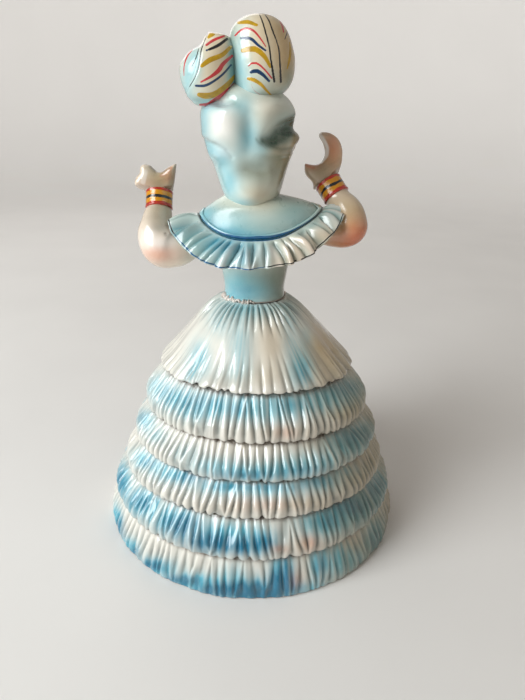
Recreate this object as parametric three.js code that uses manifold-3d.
// A standing glazed terracotta doll in a wide skirt of six pleated flounces, arms raised.
// Millimetres. Z is up, the table is at Z = 0 and the skirt's axis is the Z axis.
// The doll looks along -Y, so its back is towards +Y and its own left side is towards +X.
import * as THREE from "three";
import { mergeVertices } from "three/addons/utils/BufferGeometryUtils.js";
import Module from "manifold-3d";

const wasm = await Module();
wasm.setup();

// Clearances
const LUTE_GAP = 0.3;
const WELT_GAP = 0.5;

// Smoothness
const SKIRT_SIDES = 40;
const BODY_SIDES = 24;
const LIMB_SIDES = 14;
const LIMB_STEPS = 13;
const KNOT_SIDES = 20;
const KNOT_ROWS = 10;

// Skirt: the hem of each flounce, from the waist down to the table, with its rise towards the back
const HEM_1_RADIUS = 62.8;
const HEM_1_HEIGHT = 109.6;
const HEM_2_RADIUS = 73.0;
const HEM_2_HEIGHT = 82.6;
const HEM_3_RADIUS = 81.4;
const HEM_3_HEIGHT = 61.8;
const HEM_4_RADIUS = 88.2;
const HEM_4_HEIGHT = 41.8;
const HEM_5_RADIUS = 95.8;
const HEM_5_HEIGHT = 22.0;
const HEM_6_RADIUS = 100.2;
const HEMS = [
  { radius: HEM_1_RADIUS, height: HEM_1_HEIGHT, tilt: 0.075 },
  { radius: HEM_2_RADIUS, height: HEM_2_HEIGHT, tilt: 0.08 },
  { radius: HEM_3_RADIUS, height: HEM_3_HEIGHT, tilt: 0.08 },
  { radius: HEM_4_RADIUS, height: HEM_4_HEIGHT, tilt: 0.075 },
  { radius: HEM_5_RADIUS, height: HEM_5_HEIGHT, tilt: 0.035 },
  { radius: HEM_6_RADIUS, height: 0.0, tilt: 0.0 },
];
const PLEAT_PITCH = 6.0;
const TOP_PLEAT_PITCH = 6.4;
const PLEAT_DEPTH = 1.5;
const WAIST_PLEAT_DEPTH = 0.9;
const HEM_OVERHANG = 2.4;
const HEM_TUCK = 0.6;
const BELLY_FALL = 0.76;
const SHOULDER_FALL = 0.46;
const SHOULDER_SHARE = 0.8;
const FLOUNCE_SEAT = 4.0;
const CORE_WALL = 5.0;
const CORE_SHOULDER_RADIUS = 36.0;
const CORE_SHOULDER_DROP = 19.7;
const CORE_TOP_RADIUS = 15.0;
const CORE_BORE_RADIUS = 10.3;
const CORE_BORE_LENGTH = 14.0;

// Waist and torso
const WAIST_HEIGHT = 152.7;
const WAIST_HALF_WIDTH = 19.2;
const WAIST_HALF_DEPTH = 17.6;
const WAIST_X = 2.0;
const BEAD_WIDTH = 1.7;
const BEAD_HEIGHT = 2.2;
const TENON_LENGTH = 11.0;
const TORSO_BORE_RADIUS = 6.5;
const BODICE_HEIGHT = 31.5;
const BODICE_TOP = WAIST_HEIGHT + BODICE_HEIGHT;
const BODICE_TOP_X = 2.2;
const BODICE_TOP_HALF_WIDTH = 24.0;
const BODICE_TOP_BACK = 19.6;
const BODICE_TOP_FRONT = 23.4;
const BODICE_DRAW_IN = 1.3;

// Shoulders and neckline
const SHOULDER_TILT = 0.07;
const SHOULDER_X = -1.0;
const SHOULDER_HALF_WIDTH = 36.2;
const SHOULDER_BACK = 20.4;
const SHOULDER_FRONT = 20.8;
const SHOULDER_RISE = 21.8;
const SHOULDER_HEIGHT = BODICE_TOP + SHOULDER_RISE;
const CHEST_FULLNESS = 4.6;
const SHOULDER_FULLNESS = 2.6;
const NECK_SEAT_RISE = 10.0;
const NECK_SEAT_HEIGHT = SHOULDER_HEIGHT + NECK_SEAT_RISE;
const NECK_X = 4.6;
const NECK_Y = -1.0;
const NECK_RADIUS = 10.4;
const NECK_TENON_RADIUS = 6.6;
const NECK_TENON_LENGTH = 9.0;
const NECK_SEAT_WIDENING = 2.6;
const NECKLINE_BACK = SHOULDER_HEIGHT - 13.1;
const NECKLINE_FRONT = SHOULDER_HEIGHT - 17.5;
const NECKLINE_SIDE = SHOULDER_HEIGHT + 0.6;
const WELT_HEIGHT = 2.4;
const WELT_THICKNESS = 1.5;

// Ruffle that falls from the neckline over the upper arms
const RUFFLE_X = 1.5;
const RUFFLE_HALF_WIDTH = SHOULDER_HALF_WIDTH + 17.2;
const RUFFLE_HALF_DEPTH = SHOULDER_BACK + 15.6;
const RUFFLE_BACK = NECKLINE_BACK - 14.3;
const RUFFLE_FRONT = NECKLINE_FRONT - 13.9;
const RUFFLE_SIDE = NECKLINE_SIDE - 2.6;
const RUFFLE_THICKNESS = 2.6;
const RUFFLE_PLEATS = 40;
const RUFFLE_WAVE = 1.3;

// Head, scarf and turban knots
const HEAD_HEIGHT = 54.5;
const CROWN_HEIGHT = NECK_SEAT_HEIGHT + HEAD_HEIGHT;
const HEAD_HALF_WIDTH = 23.6;
const HEAD_LEAN = 0.045;
const NOSE_RISE = 3.2;
const NOSE_HALF_WIDTH = 3.4;
const SCARF_HALF_WIDTH = HEAD_HALF_WIDTH + 3.8;
const SCARF_BACK = HEAD_HALF_WIDTH + 4.4;
const SCARF_TOP = CROWN_HEIGHT + 5.0;
const SCARF_TAIL_END = NECK_SEAT_HEIGHT - 7.4;
const SCARF_EDGE_TURN = 0.3;
const SCARF_EDGE_LEAN = 0.42;
const SCARF_EDGE_Y = -9.0;
const LEFT_KNOT = {
  x: NECK_X + 24.8,
  y: 7.0,
  z: CROWN_HEIGHT + 8.7,
  halfWidth: 15.8,
  halfDepth: 15.0,
  halfHeight: 17.8,
  lean: 0.24,
};
const RIGHT_KNOT = {
  x: NECK_X - 5.0,
  y: 6.0,
  z: CROWN_HEIGHT + 15.9,
  halfWidth: 17.2,
  halfDepth: 16.5,
  halfHeight: 20.4,
  lean: -0.02,
};

// Arms: out from the shoulder's end, towards the back and up, with the half thickness there
const ARM_TENON_RADIUS = 4.2;
const WRIST_RADIUS = 7.2;
const WRIST_TENON_RADIUS = 3.0;
const WRIST_TENON_LENGTH = 5.0;
const CUFF_LENGTH = 11.0;
const CUFF_THICKNESS = 1.1;
const HAND_THICKNESS = 9.0;
const HAND_ROUNDING = 2.6;
const HAND_INSET = 1.8;
const HAND_POINTS = 32;
const LEFT_ARM = [
  { out: -8.2, back: 0.0, up: -11.0, r: 7.6 },
  { out: 4.8, back: 0.5, up: -18.0, r: 8.6 },
  { out: 8.8, back: 1.0, up: -21.4, r: 10.0 },
  { out: 15.8, back: 2.0, up: -23.8, r: 11.6 },
  { out: 22.8, back: 2.0, up: -22.6, r: 13.2 },
  { out: 27.2, back: 0.0, up: -16.4, r: 11.6 },
  { out: 27.6, back: -4.5, up: -9.4, r: 9.2 },
  { out: 26.8, back: -9.0, up: -3.4, r: 8.0 },
];
const RIGHT_ARM = [
  { out: -9.2, back: 0.0, up: -9.0, r: 7.2 },
  { out: 1.3, back: 0.5, up: -11.0, r: 7.8 },
  { out: 6.3, back: 1.0, up: -12.2, r: 8.2 },
  { out: 12.3, back: 1.5, up: -12.4, r: 8.8 },
  { out: 18.0, back: 1.0, up: -8.0, r: 10.8 },
  { out: 18.2, back: -2.0, up: -1.6, r: 10.2 },
  { out: 13.2, back: -6.5, up: 3.4, r: 8.6 },
];
const LEFT_WRIST = { out: 27.0, back: -15.0, up: 7.4 };
const RIGHT_WRIST = { out: 4.4, back: -14.0, up: 15.6 };

// Outlines of the hands, across towards the doll's left and up from the wrist's end
const LEFT_HAND_OUTLINE = [
  [-6.4, -2.6], [-7.4, 5.0], [-8.8, 14.6], [-4.6, 12.0], [0.2, 11.0], [4.2, 12.6], [7.4, 15.2],
  [8.6, 11.4], [12.2, 9.0], [12.8, 5.0], [9.6, 1.6], [6.6, -2.6], [0.0, -4.0],
];
const RIGHT_HAND_OUTLINE = [
  [-6.8, 1.0], [-5.6, 7.0], [-6.2, 13.0], [-6.0, 19.0], [-3.0, 24.4], [1.6, 27.4], [6.0, 27.4],
  [3.4, 22.4], [2.0, 16.6], [4.0, 11.2], [8.6, 9.4], [14.4, 9.8], [13.2, 4.6], [8.6, -0.6],
  [6.8, -8.0], [-1.0, -6.0],
];

// Glazes
const CREAM = 0xeae6da;
const PALE_BLUE = 0xa9d6e0;
const DEEP_BLUE = 0x2f7fa8;
const SKIN = 0xe3c3a6;
const OCHRE = 0xd9a021;
const CLAY = 0xb5653f;

function glaze(color, roughness = 0.22) {
  return new THREE.MeshStandardMaterial({ color, roughness, metalness: 0 });
}

// A ring of points, turning anticlockwise seen from above
function ring(count, pointAt) {
  const points = [];
  for (let i = 0; i < count; i += 1) {
    points.push(pointAt((2 * Math.PI * i) / count, i));
  }
  return points;
}

// A flat circle, which can rise towards the back by a tilt
function circle(count, radius, height, centreX = 0, tilt = 0) {
  return ring(count, (turn) => new THREE.Vector3(
    centreX + radius * Math.cos(turn),
    radius * Math.sin(turn),
    height + tilt * radius * Math.sin(turn),
  ));
}

// Joins two rings, which may hold different numbers of points, with a band of triangles
function zipRings(indices, countA, startA, countB, startB) {
  let a = countA === 1 ? 1 : 0;
  let b = countB === 1 ? 1 : 0;
  while (a < countA || b < countB) {
    const stepA = b >= countB || (a < countA && (a + 1) * countB <= (b + 1) * countA);
    const pointA = startA + (a % countA);
    const pointB = startB + (b % countB);
    if (stepA) {
      indices.push(pointA, startA + ((a + 1) % countA), pointB);
      a += 1;
    } else {
      indices.push(pointA, startB + ((b + 1) % countB), pointB);
      b += 1;
    }
  }
}

function signedVolume(positions, indices) {
  const p = [new THREE.Vector3(), new THREE.Vector3(), new THREE.Vector3()];
  let sum = 0;
  for (let i = 0; i < indices.length; i += 3) {
    for (let corner = 0; corner < 3; corner += 1) {
      p[corner].fromArray(positions, 3 * indices[i + corner]);
    }
    sum += p[0].dot(p[1].clone().cross(p[2])) / 6;
  }
  return sum;
}

// A closed skin over a row of rings: capped at both ends, or joined last to first
function loft(rings, loop = false, capFaces = []) {
  const positions = [];
  const starts = [];
  for (const points of rings) {
    starts.push(positions.length / 3);
    for (const point of points) {
      positions.push(point.x, point.y, point.z);
    }
  }
  const indices = [];
  const bands = loop ? rings.length : rings.length - 1;
  for (let i = 0; i < bands; i += 1) {
    const j = (i + 1) % rings.length;
    zipRings(indices, rings[i].length, starts[i], rings[j].length, starts[j]);
  }
  const lastStart = starts[starts.length - 1];
  for (const [a, b, c] of capFaces) {
    indices.push(a, c, b);
    indices.push(lastStart + a, lastStart + b, lastStart + c);
  }
  if (signedVolume(positions, indices) < 0) {
    for (let i = 0; i < indices.length; i += 3) {
      [indices[i], indices[i + 1]] = [indices[i + 1], indices[i]];
    }
  }
  const geometry = new THREE.BufferGeometry();
  geometry.setAttribute("position", new THREE.Float32BufferAttribute(positions, 3));
  geometry.setIndex(indices);
  return geometry;
}

function centreOf(points) {
  const centre = new THREE.Vector3();
  points.forEach((point) => centre.add(point));
  return centre.divideScalar(points.length);
}

function capped(rings) {
  return loft([[centreOf(rings[0])], ...rings, [centreOf(rings[rings.length - 1])]]);
}

function looped(rings) {
  return loft(rings, true);
}

// Booleans
function solidOf(geometry) {
  const bare = geometry.clone();
  bare.deleteAttribute("normal");
  bare.deleteAttribute("uv");
  const merged = mergeVertices(bare, 1e-4);
  return new wasm.Manifold(new wasm.Mesh({
    numProp: 3,
    vertProperties: Float32Array.from(merged.attributes.position.array),
    triVerts: Uint32Array.from(merged.index.array),
  }));
}

function geometryOf(solid) {
  const mesh = solid.getMesh();
  const positions = new Float32Array(mesh.numVert * 3);
  for (let i = 0; i < mesh.numVert; i += 1) {
    for (let axis = 0; axis < 3; axis += 1) {
      positions[3 * i + axis] = mesh.vertProperties[i * mesh.numProp + axis];
    }
  }
  const geometry = new THREE.BufferGeometry();
  geometry.setAttribute("position", new THREE.BufferAttribute(positions, 3));
  geometry.setIndex(new THREE.BufferAttribute(Uint32Array.from(mesh.triVerts), 1));
  return geometry;
}

function cut(geometry, ...tools) {
  let solid = solidOf(geometry);
  for (const tool of tools) {
    solid = solid.subtract(solidOf(tool));
  }
  return geometryOf(solid);
}

function join(geometry, ...others) {
  let solid = solidOf(geometry);
  for (const other of others) {
    solid = solid.add(solidOf(other));
  }
  return geometryOf(solid);
}

// A round bar from one point to another
function bar(from, to, radius, sides = LIMB_SIDES) {
  const length = from.distanceTo(to);
  const geometry = new THREE.CylinderGeometry(radius, radius, length, sides);
  const along = to.clone().sub(from).normalize();
  geometry.applyQuaternion(new THREE.Quaternion().setFromUnitVectors(new THREE.Vector3(0, 1, 0), along));
  const middle = from.clone().add(to).multiplyScalar(0.5);
  geometry.translate(middle.x, middle.y, middle.z);
  return geometry;
}

// Values of a table of stations at a height, straight between two stations
function stationAt(stations, height) {
  const last = stations[stations.length - 1];
  if (height <= stations[0].z) {
    return { ...stations[0], z: height };
  }
  if (height >= last.z) {
    return { ...last, z: height };
  }
  const upper = stations.findIndex((station) => station.z > height);
  const below = stations[upper - 1];
  const above = stations[upper];
  const share = (height - below.z) / (above.z - below.z);
  const mixed = { z: height };
  for (const key of ["x", "y", "halfWidth", "back", "front"]) {
    mixed[key] = THREE.MathUtils.lerp(below[key], above[key], share);
  }
  return mixed;
}

// One point of a body section: its back and front halves have their own depths
function sectionPoint(station, turn, out = 0, tilt = 0) {
  const depth = Math.sin(turn) > 0 ? station.back : station.front;
  const across = (station.halfWidth + out) * Math.cos(turn);
  return new THREE.Vector3(
    station.x + across,
    station.y + (depth + out) * Math.sin(turn),
    station.z - tilt * across,
  );
}

function sectionRing(station, out = 0, tilt = 0) {
  return ring(BODY_SIDES, (turn) => sectionPoint(station, turn, out, tilt));
}

// Skirt

// The core's outside, from its top down to its foot
function coreOutline() {
  const outline = [
    { radius: CORE_TOP_RADIUS, height: WAIST_HEIGHT, tilt: 0 },
    { radius: CORE_SHOULDER_RADIUS, height: WAIST_HEIGHT - CORE_SHOULDER_DROP, tilt: 0.5 * HEMS[0].tilt },
  ];
  for (const hem of HEMS) {
    outline.push({ ...hem, radius: hem.radius - HEM_OVERHANG - FLOUNCE_SEAT });
  }
  return outline;
}

function seatCircle(row, out, up = 0) {
  return circle(SKIRT_SIDES, row.radius + out, row.height + up, 0, row.tilt);
}

function skirtCore() {
  const outline = coreOutline();
  const [top, shoulder, ...hems] = outline;
  const foot = hems.pop();
  return looped([
    seatCircle(top, 0),
    seatCircle(shoulder, 0),
    ...hems.map((row) => seatCircle(row, 0)),
    seatCircle(foot, 0),
    seatCircle(foot, -CORE_WALL),
    seatCircle(hems[hems.length - 1], -CORE_WALL, -0.4 * CORE_WALL),
    seatCircle(hems[0], -CORE_WALL, -0.4 * CORE_WALL),
    seatCircle(shoulder, -CORE_WALL, -0.8 * CORE_WALL),
    circle(SKIRT_SIDES, CORE_BORE_RADIUS, WAIST_HEIGHT - CORE_BORE_LENGTH),
    circle(SKIRT_SIDES, CORE_BORE_RADIUS, WAIST_HEIGHT),
  ]);
}

// A ring of pleats: its points stand out and in by turns, some further than others
function pleatedRing(pleats, row, depth, centreX = 0) {
  return ring(2 * pleats, (turn, i) => {
    const uneven = 0.8 + 0.2 * Math.sin(5 * turn) * Math.cos(11 * turn);
    const radius = row.radius + (i % 2 === 0 ? 0.5 : -0.5) * depth * uneven;
    return new THREE.Vector3(
      centreX + radius * Math.cos(turn),
      radius * Math.sin(turn),
      row.height + row.tilt * row.radius * Math.sin(turn),
    );
  });
}

function hemRing(pleats, hem) {
  return pleatedRing(pleats, { ...hem, radius: hem.radius - HEM_TUCK }, PLEAT_DEPTH);
}

// A lower flounce: it swells out from under the hem above, drops and turns in to its own hem
function lowerFlounce(index) {
  const hem = HEMS[index];
  const above = HEMS[index - 1];
  const outline = coreOutline();
  const coreTop = outline[index + 1];
  const coreFoot = outline[index + 2];
  const pleats = Math.round((2 * Math.PI * hem.radius) / PLEAT_PITCH);
  const slope = (coreFoot.radius - coreTop.radius) / (coreTop.height - coreFoot.height);
  const swell = (fall, share) => pleatedRing(
    pleats,
    {
      radius: THREE.MathUtils.lerp(above.radius - HEM_OVERHANG, hem.radius, share),
      height: THREE.MathUtils.lerp(above.height, hem.height, fall),
      tilt: THREE.MathUtils.lerp(above.tilt, hem.tilt, fall),
    },
    PLEAT_DEPTH,
  );
  return looped([
    hemRing(pleats, hem),
    swell(BELLY_FALL, 1),
    swell(SHOULDER_FALL, SHOULDER_SHARE),
    seatCircle(above, -HEM_OVERHANG, -LUTE_GAP),
    seatCircle(coreTop, LUTE_GAP + slope * LUTE_GAP, -LUTE_GAP),
    seatCircle(coreFoot, LUTE_GAP),
  ]);
}

// The top flounce runs from the waist over the core's shoulder, gathered at the waist
function topFlounce() {
  const hem = HEMS[0];
  const pleats = Math.round((2 * Math.PI * hem.radius) / TOP_PLEAT_PITCH);
  const [coreTop, coreShoulder, coreHem] = coreOutline();
  const waistRadius = WAIST_HALF_WIDTH + 0.4;
  const along = (out, down, depth) => pleatedRing(
    pleats,
    {
      radius: THREE.MathUtils.lerp(waistRadius, hem.radius, out),
      height: THREE.MathUtils.lerp(WAIST_HEIGHT, hem.height, down),
      tilt: hem.tilt * down,
    },
    depth,
    WAIST_X * (1 - out),
  );
  return looped([
    hemRing(pleats, hem),
    along(1.0, 0.94, PLEAT_DEPTH),
    along(0.85, 0.8, 0.8 * PLEAT_DEPTH),
    along(0.44, 0.34, 0.5 * PLEAT_DEPTH),
    along(0.16, 0.08, 0.7 * PLEAT_DEPTH),
    along(0.0, 0.0, WAIST_PLEAT_DEPTH),
    seatCircle(coreTop, LUTE_GAP),
    seatCircle(coreShoulder, LUTE_GAP, LUTE_GAP),
    seatCircle(coreHem, LUTE_GAP),
  ]);
}

// Waist

const WAIST_STATION = {
  x: WAIST_X,
  y: 0,
  z: WAIST_HEIGHT + LUTE_GAP,
  halfWidth: WAIST_HALF_WIDTH,
  back: WAIST_HALF_DEPTH,
  front: WAIST_HALF_DEPTH,
};

function waistBead() {
  const row = (out, up, uneven) => ring(BODY_SIDES, (turn) => {
    const crumb = uneven * (Math.sin(9 * turn) + Math.sin(16 * turn + 1));
    const point = sectionPoint(WAIST_STATION, turn, LUTE_GAP + out + crumb);
    point.z += up;
    return point;
  });
  return looped([
    row(0.1, 0, 0),
    row(BEAD_WIDTH, 0, 0.1),
    row(0.7 * BEAD_WIDTH, 0.7 * BEAD_HEIGHT, 0.16),
    row(0.1, BEAD_HEIGHT, 0),
  ]);
}

// A section between two others: share 0 is the first and 1 is the second
function between(first, second, share, out = 0) {
  const mixed = {};
  for (const key of ["x", "y", "z"]) {
    mixed[key] = THREE.MathUtils.lerp(first[key], second[key], share);
  }
  for (const key of ["halfWidth", "back", "front"]) {
    mixed[key] = THREE.MathUtils.lerp(first[key], second[key], share) + out;
  }
  return mixed;
}

// The bodice, hollow, with a tenon that goes down into the core's bore
const BODICE_END = {
  x: BODICE_TOP_X,
  y: 0,
  z: BODICE_TOP,
  halfWidth: BODICE_TOP_HALF_WIDTH,
  back: BODICE_TOP_BACK,
  front: BODICE_TOP_FRONT,
};
const BODICE_STATIONS = [
  WAIST_STATION,
  between(WAIST_STATION, BODICE_END, 0.18, -0.9 * BODICE_DRAW_IN),
  between(WAIST_STATION, BODICE_END, 0.42, -BODICE_DRAW_IN),
  between(WAIST_STATION, BODICE_END, 0.7, -0.9 * BODICE_DRAW_IN),
  BODICE_END,
];

function bodice() {
  const tenonRadius = CORE_BORE_RADIUS - LUTE_GAP;
  const tenonFoot = WAIST_HEIGHT - TENON_LENGTH;
  return looped([
    circle(BODY_SIDES, TORSO_BORE_RADIUS, tenonFoot),
    circle(BODY_SIDES, tenonRadius, tenonFoot),
    circle(BODY_SIDES, tenonRadius, WAIST_HEIGHT + LUTE_GAP),
    ...BODICE_STATIONS.map((station) => sectionRing(station)),
    circle(BODY_SIDES, TORSO_BORE_RADIUS, BODICE_TOP, BODICE_STATIONS.at(-1).x),
  ]);
}

// Shoulders and chest
const BUST_FOOT = { ...BODICE_END, z: BODICE_TOP + LUTE_GAP };
const SHOULDERS = {
  x: SHOULDER_X,
  y: 0,
  z: SHOULDER_HEIGHT,
  halfWidth: SHOULDER_HALF_WIDTH,
  back: SHOULDER_BACK,
  front: SHOULDER_FRONT,
};
const NECK_SEAT = {
  x: NECK_X,
  y: NECK_Y,
  z: NECK_SEAT_HEIGHT,
  halfWidth: NECK_RADIUS + NECK_SEAT_WIDENING,
  back: NECK_RADIUS + NECK_SEAT_WIDENING,
  front: NECK_RADIUS + NECK_SEAT_WIDENING,
};
const BUST_STATIONS = [
  BUST_FOOT,
  between(BUST_FOOT, SHOULDERS, 0.25, 0.5 * CHEST_FULLNESS),
  between(BUST_FOOT, SHOULDERS, 0.54, 0.7 * CHEST_FULLNESS),
  between(BUST_FOOT, SHOULDERS, 0.82, 0.45 * CHEST_FULLNESS),
  SHOULDERS,
  between(SHOULDERS, NECK_SEAT, 0.26, 0.85 * SHOULDER_FULLNESS),
  between(SHOULDERS, NECK_SEAT, 0.52, SHOULDER_FULLNESS),
  between(SHOULDERS, NECK_SEAT, 0.76, 0.6 * SHOULDER_FULLNESS),
  NECK_SEAT,
];

// The shoulders tilt, and the tilt dies out at the bodice and at the neck
function bustTilt(station) {
  const low = BUST_FOOT.z;
  const rise = THREE.MathUtils.smoothstep(station.z, low, THREE.MathUtils.lerp(low, SHOULDER_HEIGHT, 0.63));
  const fade = THREE.MathUtils.smoothstep(station.z, NECK_SEAT_HEIGHT - 0.5 * NECK_SEAT_RISE, NECK_SEAT_HEIGHT);
  return SHOULDER_TILT * rise * (1 - fade);
}

function bustPoint(height, turn, out = 0) {
  const station = stationAt(BUST_STATIONS, height);
  return sectionPoint(station, turn, out, bustTilt(station));
}

function bustSkin(out) {
  return capped(BUST_STATIONS.map((station) => ring(BODY_SIDES, (turn) => bustPoint(station.z, turn, out))));
}

function bust() {
  const seat = vectorOf(NECK_SEAT);
  const socketFoot = seat.clone().setZ(seat.z - NECK_TENON_LENGTH - LUTE_GAP);
  const socketMouth = seat.clone().setZ(seat.z + 1);
  return cut(
    bustSkin(0),
    bar(socketFoot, socketMouth, NECK_TENON_RADIUS + LUTE_GAP, BODY_SIDES),
    armTenon(leftArmLine(), LUTE_GAP),
    armTenon(rightArmLine(), LUTE_GAP),
  );
}

// The neckline: a loop on the bust that dips at the back and front and rises over the shoulders
function necklineHeight(turn) {
  const low = Math.sin(turn) > 0 ? NECKLINE_BACK : NECKLINE_FRONT;
  return THREE.MathUtils.lerp(low, NECKLINE_SIDE, Math.abs(Math.cos(turn)) ** 3);
}

function necklineRing(out, up) {
  return ring(2 * BODY_SIDES, (turn) => bustPoint(necklineHeight(turn) + up, turn, WELT_GAP + out));
}

function necklineWelt() {
  const band = looped([
    necklineRing(0, 0),
    necklineRing(WELT_THICKNESS, 0.2 * WELT_HEIGHT),
    necklineRing(WELT_THICKNESS, 0.8 * WELT_HEIGHT),
    necklineRing(0, WELT_HEIGHT),
  ]);
  return cut(band, bustSkin(LUTE_GAP));
}

// Ruffle: its free edge is a wider loop, lower at the back and front than over the arms
function ruffleEdge(turn, inward, down) {
  const low = Math.sin(turn) > 0 ? RUFFLE_BACK : RUFFLE_FRONT;
  const height = THREE.MathUtils.lerp(low, RUFFLE_SIDE, Math.abs(Math.cos(turn)) ** 3);
  const across = (RUFFLE_HALF_WIDTH - inward) * Math.cos(turn);
  return new THREE.Vector3(
    RUFFLE_X + across,
    (RUFFLE_HALF_DEPTH - inward) * Math.sin(turn),
    height - down - SHOULDER_TILT * across,
  );
}

// A row of the ruffle: share 0 is at the neckline and 1 at the free edge
function ruffleRow(share, side, wave) {
  return ring(2 * RUFFLE_PLEATS, (turn, i) => {
    const flat = Math.abs(Math.cos(turn)) ** 3;
    const inward = side * RUFFLE_THICKNESS * THREE.MathUtils.lerp(0.9, 0.35, flat);
    const down = side * RUFFLE_THICKNESS * THREE.MathUtils.lerp(0.45, 1.0, flat);
    const root = bustPoint(necklineHeight(turn) - WELT_GAP - down, turn, WELT_GAP);
    root.addScaledVector(new THREE.Vector3(Math.cos(turn), Math.sin(turn), 0), WELT_THICKNESS * (1 - side));
    const fold = (i % 2 === 0 ? 1 : -1) * wave;
    const edge = ruffleEdge(turn, inward - fold * (1 - flat), down - fold * flat);
    return root.lerp(edge, share);
  });
}

function ruffle() {
  const frill = looped([
    ruffleRow(0, 1, 0),
    ruffleRow(0.5, 1, 0.8 * RUFFLE_WAVE),
    ruffleRow(1, 1, RUFFLE_WAVE),
    ruffleRow(1, 0, RUFFLE_WAVE),
    ruffleRow(0.5, 0, 0.8 * RUFFLE_WAVE),
    ruffleRow(0, 0, 0),
  ]);
  return cut(
    frill,
    bustSkin(LUTE_GAP),
    armSkin(leftArmLine(), LUTE_GAP),
    armSkin(rightArmLine(), LUTE_GAP),
  );
}

// Head with its neck and tenon
function headStations() {
  const wide = HEAD_HALF_WIDTH;
  const rows = [
    { up: 0.0, halfWidth: NECK_RADIUS, back: NECK_RADIUS, front: NECK_RADIUS },
    { up: 0.08, halfWidth: 0.92 * NECK_RADIUS, back: NECK_RADIUS, front: 0.94 * NECK_RADIUS },
    { up: 0.14, halfWidth: 1.06 * NECK_RADIUS, back: 1.1 * NECK_RADIUS, front: 0.8 * wide },
    { up: 0.2, halfWidth: 0.66 * wide, back: 0.58 * wide, front: 1.05 * wide },
    { up: 0.3, halfWidth: 0.84 * wide, back: 0.72 * wide, front: 1.13 * wide },
    { up: 0.42, halfWidth: 0.95 * wide, back: 0.86 * wide, front: 1.12 * wide },
    { up: 0.56, halfWidth: wide, back: 0.95 * wide, front: 1.08 * wide },
    { up: 0.7, halfWidth: 0.98 * wide, back: 0.95 * wide, front: 1.04 * wide },
    { up: 0.84, halfWidth: 0.84 * wide, back: 0.82 * wide, front: 0.86 * wide },
    { up: 0.94, halfWidth: 0.54 * wide, back: 0.54 * wide, front: 0.54 * wide },
    { up: 0.99, halfWidth: 0.2 * wide, back: 0.2 * wide, front: 0.2 * wide },
  ];
  return rows.map((row) => ({
    ...row,
    x: NECK_X + HEAD_LEAN * row.up * HEAD_HEIGHT,
    y: NECK_Y,
    z: NECK_SEAT_HEIGHT + LUTE_GAP + row.up * HEAD_HEIGHT,
  }));
}

// The nose: a soft ridge down the middle of the face
function noseAt(station, turn) {
  const sideways = station.halfWidth * Math.cos(turn);
  const frontal = Math.sin(turn) < 0 ? Math.exp(-((sideways / NOSE_HALF_WIDTH) ** 2)) : 0;
  const share = Math.exp(-(((station.up - 0.42) / 0.09) ** 2));
  return NOSE_RISE * frontal * share;
}

function headSkin(out) {
  return capped(headStations().map((station) => ring(BODY_SIDES, (turn) => {
    const point = sectionPoint(station, turn, out);
    point.y -= noseAt(station, turn);
    point.z += out * (2 * station.up - 1);
    return point;
  })));
}

function head() {
  const seat = vectorOf(NECK_SEAT);
  const foot = seat.clone().setZ(seat.z - NECK_TENON_LENGTH);
  const root = seat.clone().setZ(seat.z + NECK_TENON_RADIUS);
  return join(headSkin(0), bar(foot, root, NECK_TENON_RADIUS, BODY_SIDES));
}

// Scarf: it wraps the crown and the back of the head and ends in a rounded tail at the nape
function scarfStations() {
  const rows = [
    { up: 0.0, halfWidth: 0.34, back: 0.52, front: 0.1 },
    { up: 0.033, halfWidth: 0.52, back: 0.66, front: 0.3 },
    { up: 0.118, halfWidth: 0.62, back: 0.72, front: 0.5 },
    { up: 0.23, halfWidth: 0.7, back: 0.73, front: 0.8 },
    { up: 0.35, halfWidth: 0.79, back: 0.78, front: 1.0 },
    { up: 0.47, halfWidth: 0.9, back: 0.9, front: 1.05 },
    { up: 0.589, halfWidth: 1.0, back: 1.0, front: 1.05 },
    { up: 0.723, halfWidth: 1.0, back: 1.0, front: 1.03 },
    { up: 0.828, halfWidth: 0.92, back: 0.93, front: 0.92 },
    { up: 0.918, halfWidth: 0.72, back: 0.72, front: 0.7 },
    { up: 0.978, halfWidth: 0.42, back: 0.42, front: 0.42 },
    { up: 1.0, halfWidth: 0.12, back: 0.12, front: 0.12 },
  ];
  const heightAt = (up) => THREE.MathUtils.lerp(SCARF_TAIL_END, SCARF_TOP, up);
  return rows.map((row) => ({
    x: NECK_X + HEAD_LEAN * (heightAt(row.up) - NECK_SEAT_HEIGHT),
    y: 0,
    z: heightAt(row.up),
    halfWidth: row.halfWidth * SCARF_HALF_WIDTH,
    back: row.back * SCARF_BACK,
    front: row.front * SCARF_BACK,
  }));
}

function scarfSkin(out) {
  const stations = scarfStations();
  const top = stations[stations.length - 1];
  const rings = stations.map((station) => sectionRing(station, out));
  rings.push(sectionRing({ ...top, z: top.z + out }, 0));
  return capped(out > 0 ? rings : rings.slice(0, -1));
}

// Everything in front of the scarf's edge: a block whose back face leans and turns with the head
function faceOpening() {
  const size = 3 * HEAD_HEIGHT;
  const block = new THREE.BoxGeometry(size, size, size);
  block.translate(0, -size / 2, 0);
  block.rotateX(-SCARF_EDGE_LEAN);
  block.rotateZ(-SCARF_EDGE_TURN);
  block.translate(NECK_X, SCARF_EDGE_Y, (NECK_SEAT_HEIGHT + CROWN_HEIGHT) / 2);
  return block;
}

function headscarf() {
  return cut(scarfSkin(0), headSkin(LUTE_GAP), bustSkin(LUTE_GAP), faceOpening());
}

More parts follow.
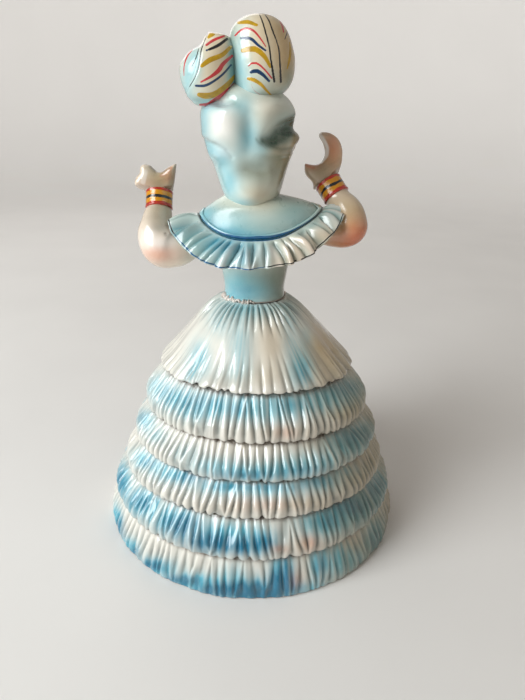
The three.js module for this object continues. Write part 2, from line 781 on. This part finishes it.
// A turban knot: an upright egg that leans a little, flattened where it sits
function knotSkin(knot, out) {
  const rings = [];
  for (let i = 1; i < KNOT_ROWS; i += 1) {
    const climb = -Math.PI / 2 + (Math.PI * i) / KNOT_ROWS;
    const round = Math.cos(climb) ** 0.86;
    const up = (knot.halfHeight + out) * Math.sin(climb);
    rings.push(ring(KNOT_SIDES, (turn) => new THREE.Vector3(
      knot.x + (knot.halfWidth + out) * round * Math.cos(turn) - knot.lean * up,
      knot.y + (knot.halfDepth + out) * round * Math.sin(turn),
      knot.z + up,
    )));
  }
  return loft([
    [new THREE.Vector3(knot.x + knot.lean * (knot.halfHeight + out), knot.y, knot.z - knot.halfHeight - out)],
    ...rings,
    [new THREE.Vector3(knot.x - knot.lean * (knot.halfHeight + out), knot.y, knot.z + knot.halfHeight + out)],
  ]);
}

function leftKnot() {
  return cut(knotSkin(LEFT_KNOT, 0), scarfSkin(LUTE_GAP));
}

function rightKnot() {
  return cut(knotSkin(RIGHT_KNOT, 0), scarfSkin(LUTE_GAP), knotSkin(LEFT_KNOT, LUTE_GAP));
}

// Arms

function vectorOf({ x, y, z }) {
  return new THREE.Vector3(x, y, z);
}

// A place given out from a shoulder's end: side is 1 for the doll's left and -1 for its right
function shoulderPlace(side, { out, back, up }) {
  return new THREE.Vector3(
    SHOULDER_X + side * (SHOULDER_HALF_WIDTH + out),
    back,
    SHOULDER_HEIGHT + up,
  );
}

function armLine(side, points, wrist) {
  const places = points.map((point) => ({ place: shoulderPlace(side, point), r: point.r }));
  const end = shoulderPlace(side, wrist);
  const along = end.clone().sub(places[places.length - 1].place).normalize();
  const cuffStart = end.clone().addScaledVector(along, -CUFF_LENGTH);
  places.push({ place: cuffStart, r: WRIST_RADIUS });
  places.push({ place: end, r: WRIST_RADIUS });
  return { places, end, along };
}

function leftArmLine() {
  return armLine(1, LEFT_ARM, LEFT_WRIST);
}

function rightArmLine() {
  return armLine(-1, RIGHT_ARM, RIGHT_WRIST);
}

// An arm's skin: rings square to a smooth line from the shoulder to the wrist
function armSkin(arm, out) {
  const line = new THREE.CatmullRomCurve3(arm.places.map((row) => row.place));
  const rings = [];
  const side = new THREE.Vector3(0, 1, 0);
  for (let i = 0; i <= LIMB_STEPS; i += 1) {
    const share = i / LIMB_STEPS;
    const step = share * (arm.places.length - 1);
    const low = Math.min(Math.floor(step), arm.places.length - 2);
    const radius = THREE.MathUtils.lerp(arm.places[low].r, arm.places[low + 1].r, step - low) + out;
    const centre = line.getPoint(share);
    const along = line.getTangent(share);
    const across = side.clone().addScaledVector(along, -side.dot(along)).normalize();
    const third = along.clone().cross(across);
    rings.push(ring(LIMB_SIDES, (turn) => centre.clone()
      .addScaledVector(across, radius * Math.cos(turn))
      .addScaledVector(third, radius * Math.sin(turn))));
  }
  return capped(rings);
}

// The tenon at an arm's inner end, which goes into a socket in the bust
function armTenon(arm, out) {
  const [foot, root] = arm.places.map((row) => row.place);
  const inward = foot.clone().sub(root).normalize();
  return bar(foot.clone().addScaledVector(inward, out), root, ARM_TENON_RADIUS + out);
}

function armPiece(arm) {
  const tenonTip = arm.end.clone().addScaledVector(arm.along, WRIST_TENON_LENGTH);
  const tenonRoot = arm.end.clone().addScaledVector(arm.along, -WRIST_TENON_RADIUS);
  return join(
    cut(armSkin(arm, 0), bustSkin(LUTE_GAP)),
    armTenon(arm, 0),
    bar(tenonRoot, tenonTip, WRIST_TENON_RADIUS),
  );
}

function cuff(arm) {
  const inner = WRIST_RADIUS + LUTE_GAP;
  const outer = inner + CUFF_THICKNESS;
  const profile = [
    new THREE.Vector2(inner, -CUFF_LENGTH),
    new THREE.Vector2(outer, -CUFF_LENGTH),
    new THREE.Vector2(outer, 0),
    new THREE.Vector2(inner, 0),
    new THREE.Vector2(inner, -CUFF_LENGTH),
  ];
  const band = new THREE.LatheGeometry(profile, 2 * LIMB_SIDES);
  band.applyQuaternion(new THREE.Quaternion().setFromUnitVectors(new THREE.Vector3(0, 1, 0), arm.along));
  band.translate(arm.end.x, arm.end.y, arm.end.z);
  return band;
}

// A mitten-like hand: its outline seen from behind, given thickness and rounded edges
function handSkin(outline, wristEnd) {
  const corners = outline.map(([across, up]) => new THREE.Vector2(across, up));
  const closedLine = new THREE.CatmullRomCurve3(
    corners.map((corner) => new THREE.Vector3(corner.x, corner.y, 0)),
    true,
  );
  const line = [];
  for (let i = 0; i < HAND_POINTS; i += 1) {
    const point = closedLine.getPoint(i / HAND_POINTS);
    line.push(new THREE.Vector2(point.x, point.y));
  }
  if (THREE.ShapeUtils.isClockWise(line)) {
    line.reverse();
  }
  const inwardAt = (i) => {
    const before = line[(i + line.length - 1) % line.length];
    const after = line[(i + 1) % line.length];
    const along = after.clone().sub(before).normalize();
    return new THREE.Vector2(-along.y, along.x);
  };
  const capFaces = THREE.ShapeUtils.triangulateShape(line, []).map(([a, b, c]) => (
    THREE.ShapeUtils.area([line[a], line[b], line[c]]) > 0 ? [a, b, c] : [a, c, b]
  ));
  const row = (inset, depth) => line.map((point, i) => {
    const moved = point.clone().addScaledVector(inwardAt(i), inset);
    return new THREE.Vector3(wristEnd.x + moved.x, wristEnd.y + depth, wristEnd.z + moved.y);
  });
  const half = HAND_THICKNESS / 2;
  const rows = [
    row(HAND_INSET, -half),
    row(0.3 * HAND_INSET, -half + 0.6 * HAND_ROUNDING),
    row(0, -half + HAND_ROUNDING),
    row(0, half - HAND_ROUNDING),
    row(0.3 * HAND_INSET, half - 0.6 * HAND_ROUNDING),
    row(HAND_INSET, half),
  ];
  return loft(rows, false, capFaces);
}

// Everything on the arm's side of the wrist's end, with the gap to the hand
function belowWrist(arm) {
  const size = 8 * WRIST_RADIUS;
  const block = new THREE.BoxGeometry(size, size, size);
  block.translate(0, LUTE_GAP - size / 2, 0);
  block.applyQuaternion(new THREE.Quaternion().setFromUnitVectors(new THREE.Vector3(0, 1, 0), arm.along));
  block.translate(arm.end.x, arm.end.y, arm.end.z);
  return block;
}

function hand(outline, arm) {
  const socketTip = arm.end.clone().addScaledVector(arm.along, WRIST_TENON_LENGTH + LUTE_GAP);
  const socketRoot = arm.end.clone().addScaledVector(arm.along, -WRIST_TENON_RADIUS);
  const socket = bar(socketRoot, socketTip, WRIST_TENON_RADIUS + LUTE_GAP);
  return cut(handSkin(outline, arm.end), belowWrist(arm), socket);
}

// The assembly
const group = new THREE.Group();

function add(name, geometry, material) {
  const mesh = new THREE.Mesh(geometry, material);
  mesh.name = name;
  group.add(mesh);
}

add("skirt_core", skirtCore(), glaze(CLAY, 0.7));
add("flounce_1", topFlounce(), glaze(CREAM));
for (let index = 1; index < HEMS.length; index += 1) {
  add(`flounce_${index + 1}`, lowerFlounce(index), glaze(index % 2 === 1 ? PALE_BLUE : CREAM));
}
add("waist_bead", waistBead(), glaze(CREAM, 0.8));
add("bodice", bodice(), glaze(PALE_BLUE));
add("bust", bust(), glaze(SKIN));
add("ruffle_collar", ruffle(), glaze(PALE_BLUE));
add("neckline_welt", necklineWelt(), glaze(DEEP_BLUE));
add("head", head(), glaze(SKIN));
add("headscarf", headscarf(), glaze(PALE_BLUE));
add("left_turban_knot", leftKnot(), glaze(CREAM));
add("right_turban_knot", rightKnot(), glaze(CREAM));
add("left_arm", armPiece(leftArmLine()), glaze(SKIN));
add("right_arm", armPiece(rightArmLine()), glaze(SKIN));
add("left_cuff", cuff(leftArmLine()), glaze(OCHRE));
add("right_cuff", cuff(rightArmLine()), glaze(OCHRE));
add("left_hand", hand(LEFT_HAND_OUTLINE, leftArmLine()), glaze(SKIN));
add("right_hand", hand(RIGHT_HAND_OUTLINE, rightArmLine()), glaze(SKIN));

export default group;
